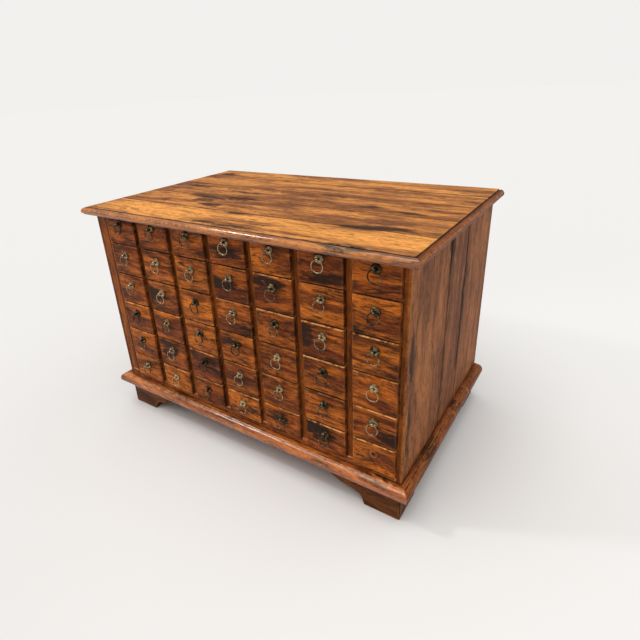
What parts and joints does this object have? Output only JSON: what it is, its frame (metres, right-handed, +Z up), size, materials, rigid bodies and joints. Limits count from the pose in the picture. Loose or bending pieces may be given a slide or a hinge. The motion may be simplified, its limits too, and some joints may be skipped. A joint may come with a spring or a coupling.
{
  "type": "multi drawer storage cabinet",
  "caption": "Low wooden cabinet with a grid of small overlay-front drawers, ring pulls, moulded top and base, and bracket feet.",
  "frame": {"origin": "on the floor below the middle of the overall box", "axes": "+X along the width to the right as seen from the front, +Y from the drawer fronts to the back, +Z up"},
  "size_m": [0.858, 0.532, 0.5734],
  "materials": {
    "side_wood": "satin",
    "frame_wood": "satin",
    "inner_wood": "matte",
    "top_wood": "satin",
    "moulding_wood": "satin",
    "foot_wood": "satin",
    "drawer_wood": "satin",
    "pull_brass": "satin"
  },
  "bodies": {
    "carcass": {"back_boards": "inner_wood", "base_moulding": "moulding_wood", "bottom_boards": "inner_wood", "column_dividers": "frame_wood", "drawer_shelves": "inner_wood", "foot_corner_blocks": "inner_wood", "front_feet": "foot_wood", "left_filler_strip": "frame_wood", "left_side_boards": "side_wood", "rear_feet": "foot_wood", "right_side_boards": "side_wood", "top_moulding": "moulding_wood", "top_planks": "top_wood"},
    "drawer_r1c1": {"drawer_row1_col1": "drawer_wood"},
    "drawer_r1c2": {"drawer_row1_col2": "drawer_wood"},
    "drawer_r1c3": {"drawer_row1_col3": "drawer_wood"},
    "drawer_r1c4": {"drawer_row1_col4": "drawer_wood"},
    "drawer_r1c5": {"drawer_row1_col5": "drawer_wood"},
    "drawer_r1c6": {"drawer_row1_col6": "drawer_wood"},
    "drawer_r1c7": {"drawer_row1_col7": "drawer_wood"},
    "drawer_r2c1": {"drawer_row2_col1": "drawer_wood"},
    "drawer_r2c2": {"drawer_row2_col2": "drawer_wood"},
    "drawer_r2c3": {"drawer_row2_col3": "drawer_wood"},
    "drawer_r2c4": {"drawer_row2_col4": "drawer_wood"},
    "drawer_r2c5": {"drawer_row2_col5": "drawer_wood"},
    "drawer_r2c6": {"drawer_row2_col6": "drawer_wood"},
    "drawer_r2c7": {"drawer_row2_col7": "drawer_wood"},
    "drawer_r3c1": {"drawer_row3_col1": "drawer_wood"},
    "drawer_r3c2": {"drawer_row3_col2": "drawer_wood"},
    "drawer_r3c3": {"drawer_row3_col3": "drawer_wood"},
    "drawer_r3c4": {"drawer_row3_col4": "drawer_wood"},
    "drawer_r3c5": {"drawer_row3_col5": "drawer_wood"},
    "drawer_r3c6": {"drawer_row3_col6": "drawer_wood"},
    "drawer_r3c7": {"drawer_row3_col7": "drawer_wood"},
    "drawer_r4c1": {"drawer_row4_col1": "drawer_wood"},
    "drawer_r4c2": {"drawer_row4_col2": "drawer_wood"},
    "drawer_r4c3": {"drawer_row4_col3": "drawer_wood"},
    "drawer_r4c4": {"drawer_row4_col4": "drawer_wood"},
    "drawer_r4c5": {"drawer_row4_col5": "drawer_wood"},
    "drawer_r4c6": {"drawer_row4_col6": "drawer_wood"},
    "drawer_r4c7": {"drawer_row4_col7": "drawer_wood"},
    "drawer_r5c1": {"drawer_row5_col1": "drawer_wood"},
    "drawer_r5c2": {"drawer_row5_col2": "drawer_wood"},
    "drawer_r5c3": {"drawer_row5_col3": "drawer_wood"},
    "drawer_r5c4": {"drawer_row5_col4": "drawer_wood"},
    "drawer_r5c5": {"drawer_row5_col5": "drawer_wood"},
    "drawer_r5c6": {"drawer_row5_col6": "drawer_wood"},
    "drawer_r5c7": {"drawer_row5_col7": "drawer_wood"},
    "drawer_r6c1": {"drawer_row6_col1": "drawer_wood"},
    "drawer_r6c2": {"drawer_row6_col2": "drawer_wood"},
    "drawer_r6c3": {"drawer_row6_col3": "drawer_wood"},
    "drawer_r6c4": {"drawer_row6_col4": "drawer_wood"},
    "drawer_r6c5": {"drawer_row6_col5": "drawer_wood"},
    "drawer_r6c6": {"drawer_row6_col6": "drawer_wood"},
    "drawer_r6c7": {"drawer_row6_col7": "drawer_wood"},
    "ring_r1c7": {"ring_row1_col7": "pull_brass"},
    "ring_r2c7": {"ring_row2_col7": "pull_brass"},
    "ring_r3c7": {"ring_row3_col7": "pull_brass"},
    "ring_r4c7": {"ring_row4_col7": "pull_brass"},
    "ring_r5c7": {"ring_row5_col7": "pull_brass"}
  },
  "joints": [
    {"name": "slide_r1c1", "type": "slide", "parent": "carcass", "child": "drawer_r1c1", "axis": [0, -1, 0], "range_m": [0, 0.4]},
    {"name": "slide_r1c2", "type": "slide", "parent": "carcass", "child": "drawer_r1c2", "axis": [0, -1, 0], "range_m": [0, 0.4]},
    {"name": "slide_r1c3", "type": "slide", "parent": "carcass", "child": "drawer_r1c3", "axis": [0, -1, 0], "range_m": [0, 0.4]},
    {"name": "slide_r1c4", "type": "slide", "parent": "carcass", "child": "drawer_r1c4", "axis": [0, -1, 0], "range_m": [0, 0.4]},
    {"name": "slide_r1c5", "type": "slide", "parent": "carcass", "child": "drawer_r1c5", "axis": [0, -1, 0], "range_m": [0, 0.4]},
    {"name": "slide_r1c6", "type": "slide", "parent": "carcass", "child": "drawer_r1c6", "axis": [0, -1, 0], "range_m": [0, 0.4]},
    {"name": "slide_r1c7", "type": "slide", "parent": "carcass", "child": "drawer_r1c7", "axis": [0, -1, 0], "range_m": [0, 0.4]},
    {"name": "slide_r2c1", "type": "slide", "parent": "carcass", "child": "drawer_r2c1", "axis": [0, -1, 0], "range_m": [0, 0.4]},
    {"name": "slide_r2c2", "type": "slide", "parent": "carcass", "child": "drawer_r2c2", "axis": [0, -1, 0], "range_m": [0, 0.4]},
    {"name": "slide_r2c3", "type": "slide", "parent": "carcass", "child": "drawer_r2c3", "axis": [0, -1, 0], "range_m": [0, 0.4]},
    {"name": "slide_r2c4", "type": "slide", "parent": "carcass", "child": "drawer_r2c4", "axis": [0, -1, 0], "range_m": [0, 0.4]},
    {"name": "slide_r2c5", "type": "slide", "parent": "carcass", "child": "drawer_r2c5", "axis": [0, -1, 0], "range_m": [0, 0.4]},
    {"name": "slide_r2c6", "type": "slide", "parent": "carcass", "child": "drawer_r2c6", "axis": [0, -1, 0], "range_m": [0, 0.4]},
    {"name": "slide_r2c7", "type": "slide", "parent": "carcass", "child": "drawer_r2c7", "axis": [0, -1, 0], "range_m": [0, 0.4]},
    {"name": "slide_r3c1", "type": "slide", "parent": "carcass", "child": "drawer_r3c1", "axis": [0, -1, 0], "range_m": [0, 0.4]},
    {"name": "slide_r3c2", "type": "slide", "parent": "carcass", "child": "drawer_r3c2", "axis": [0, -1, 0], "range_m": [0, 0.4]},
    {"name": "slide_r3c3", "type": "slide", "parent": "carcass", "child": "drawer_r3c3", "axis": [0, -1, 0], "range_m": [0, 0.4]},
    {"name": "slide_r3c4", "type": "slide", "parent": "carcass", "child": "drawer_r3c4", "axis": [0, -1, 0], "range_m": [0, 0.4]},
    {"name": "slide_r3c5", "type": "slide", "parent": "carcass", "child": "drawer_r3c5", "axis": [0, -1, 0], "range_m": [0, 0.4]},
    {"name": "slide_r3c6", "type": "slide", "parent": "carcass", "child": "drawer_r3c6", "axis": [0, -1, 0], "range_m": [0, 0.4]},
    {"name": "slide_r3c7", "type": "slide", "parent": "carcass", "child": "drawer_r3c7", "axis": [0, -1, 0], "range_m": [0, 0.4]},
    {"name": "slide_r4c1", "type": "slide", "parent": "carcass", "child": "drawer_r4c1", "axis": [0, -1, 0], "range_m": [0, 0.4]},
    {"name": "slide_r4c2", "type": "slide", "parent": "carcass", "child": "drawer_r4c2", "axis": [0, -1, 0], "range_m": [0, 0.4]},
    {"name": "slide_r4c3", "type": "slide", "parent": "carcass", "child": "drawer_r4c3", "axis": [0, -1, 0], "range_m": [0, 0.4]},
    {"name": "slide_r4c4", "type": "slide", "parent": "carcass", "child": "drawer_r4c4", "axis": [0, -1, 0], "range_m": [0, 0.4]},
    {"name": "slide_r4c5", "type": "slide", "parent": "carcass", "child": "drawer_r4c5", "axis": [0, -1, 0], "range_m": [0, 0.4]},
    {"name": "slide_r4c6", "type": "slide", "parent": "carcass", "child": "drawer_r4c6", "axis": [0, -1, 0], "range_m": [0, 0.4]},
    {"name": "slide_r4c7", "type": "slide", "parent": "carcass", "child": "drawer_r4c7", "axis": [0, -1, 0], "range_m": [0, 0.4]},
    {"name": "slide_r5c1", "type": "slide", "parent": "carcass", "child": "drawer_r5c1", "axis": [0, -1, 0], "range_m": [0, 0.4]},
    {"name": "slide_r5c2", "type": "slide", "parent": "carcass", "child": "drawer_r5c2", "axis": [0, -1, 0], "range_m": [0, 0.4]},
    {"name": "slide_r5c3", "type": "slide", "parent": "carcass", "child": "drawer_r5c3", "axis": [0, -1, 0], "range_m": [0, 0.4]},
    {"name": "slide_r5c4", "type": "slide", "parent": "carcass", "child": "drawer_r5c4", "axis": [0, -1, 0], "range_m": [0, 0.4]},
    {"name": "slide_r5c5", "type": "slide", "parent": "carcass", "child": "drawer_r5c5", "axis": [0, -1, 0], "range_m": [0, 0.4]},
    {"name": "slide_r5c6", "type": "slide", "parent": "carcass", "child": "drawer_r5c6", "axis": [0, -1, 0], "range_m": [0, 0.4]},
    {"name": "slide_r5c7", "type": "slide", "parent": "carcass", "child": "drawer_r5c7", "axis": [0, -1, 0], "range_m": [0, 0.4]},
    {"name": "slide_r6c1", "type": "slide", "parent": "carcass", "child": "drawer_r6c1", "axis": [0, -1, 0], "range_m": [0, 0.4]},
    {"name": "slide_r6c2", "type": "slide", "parent": "carcass", "child": "drawer_r6c2", "axis": [0, -1, 0], "range_m": [0, 0.4]},
    {"name": "slide_r6c3", "type": "slide", "parent": "carcass", "child": "drawer_r6c3", "axis": [0, -1, 0], "range_m": [0, 0.4]},
    {"name": "slide_r6c4", "type": "slide", "parent": "carcass", "child": "drawer_r6c4", "axis": [0, -1, 0], "range_m": [0, 0.4]},
    {"name": "slide_r6c5", "type": "slide", "parent": "carcass", "child": "drawer_r6c5", "axis": [0, -1, 0], "range_m": [0, 0.4]},
    {"name": "slide_r6c6", "type": "slide", "parent": "carcass", "child": "drawer_r6c6", "axis": [0, -1, 0], "range_m": [0, 0.4]},
    {"name": "slide_r6c7", "type": "slide", "parent": "carcass", "child": "drawer_r6c7", "axis": [0, -1, 0], "range_m": [0, 0.4]},
    {"name": "ring_hinge_r1c7", "type": "hinge", "parent": "drawer_r1c7", "child": "ring_r1c7", "pos_m": [0.3505, -0.25952, 0.5412], "axis": [-1, 0, 0], "range_deg": [-12, 145]},
    {"name": "ring_hinge_r2c7", "type": "hinge", "parent": "drawer_r2c7", "child": "ring_r2c7", "pos_m": [0.3505, -0.25952, 0.4637], "axis": [-1, 0, 0], "range_deg": [-12, 192]},
    {"name": "ring_hinge_r3c7", "type": "hinge", "parent": "drawer_r3c7", "child": "ring_r3c7", "pos_m": [0.3505, -0.25952, 0.3862], "axis": [-1, 0, 0], "range_deg": [-12, 192]},
    {"name": "ring_hinge_r4c7", "type": "hinge", "parent": "drawer_r4c7", "child": "ring_r4c7", "pos_m": [0.3505, -0.25952, 0.3087], "axis": [-1, 0, 0], "range_deg": [-12, 192]},
    {"name": "ring_hinge_r5c7", "type": "hinge", "parent": "drawer_r5c7", "child": "ring_r5c7", "pos_m": [0.3505, -0.25952, 0.2312], "axis": [-1, 0, 0], "range_deg": [-12, 192]}
  ]
}
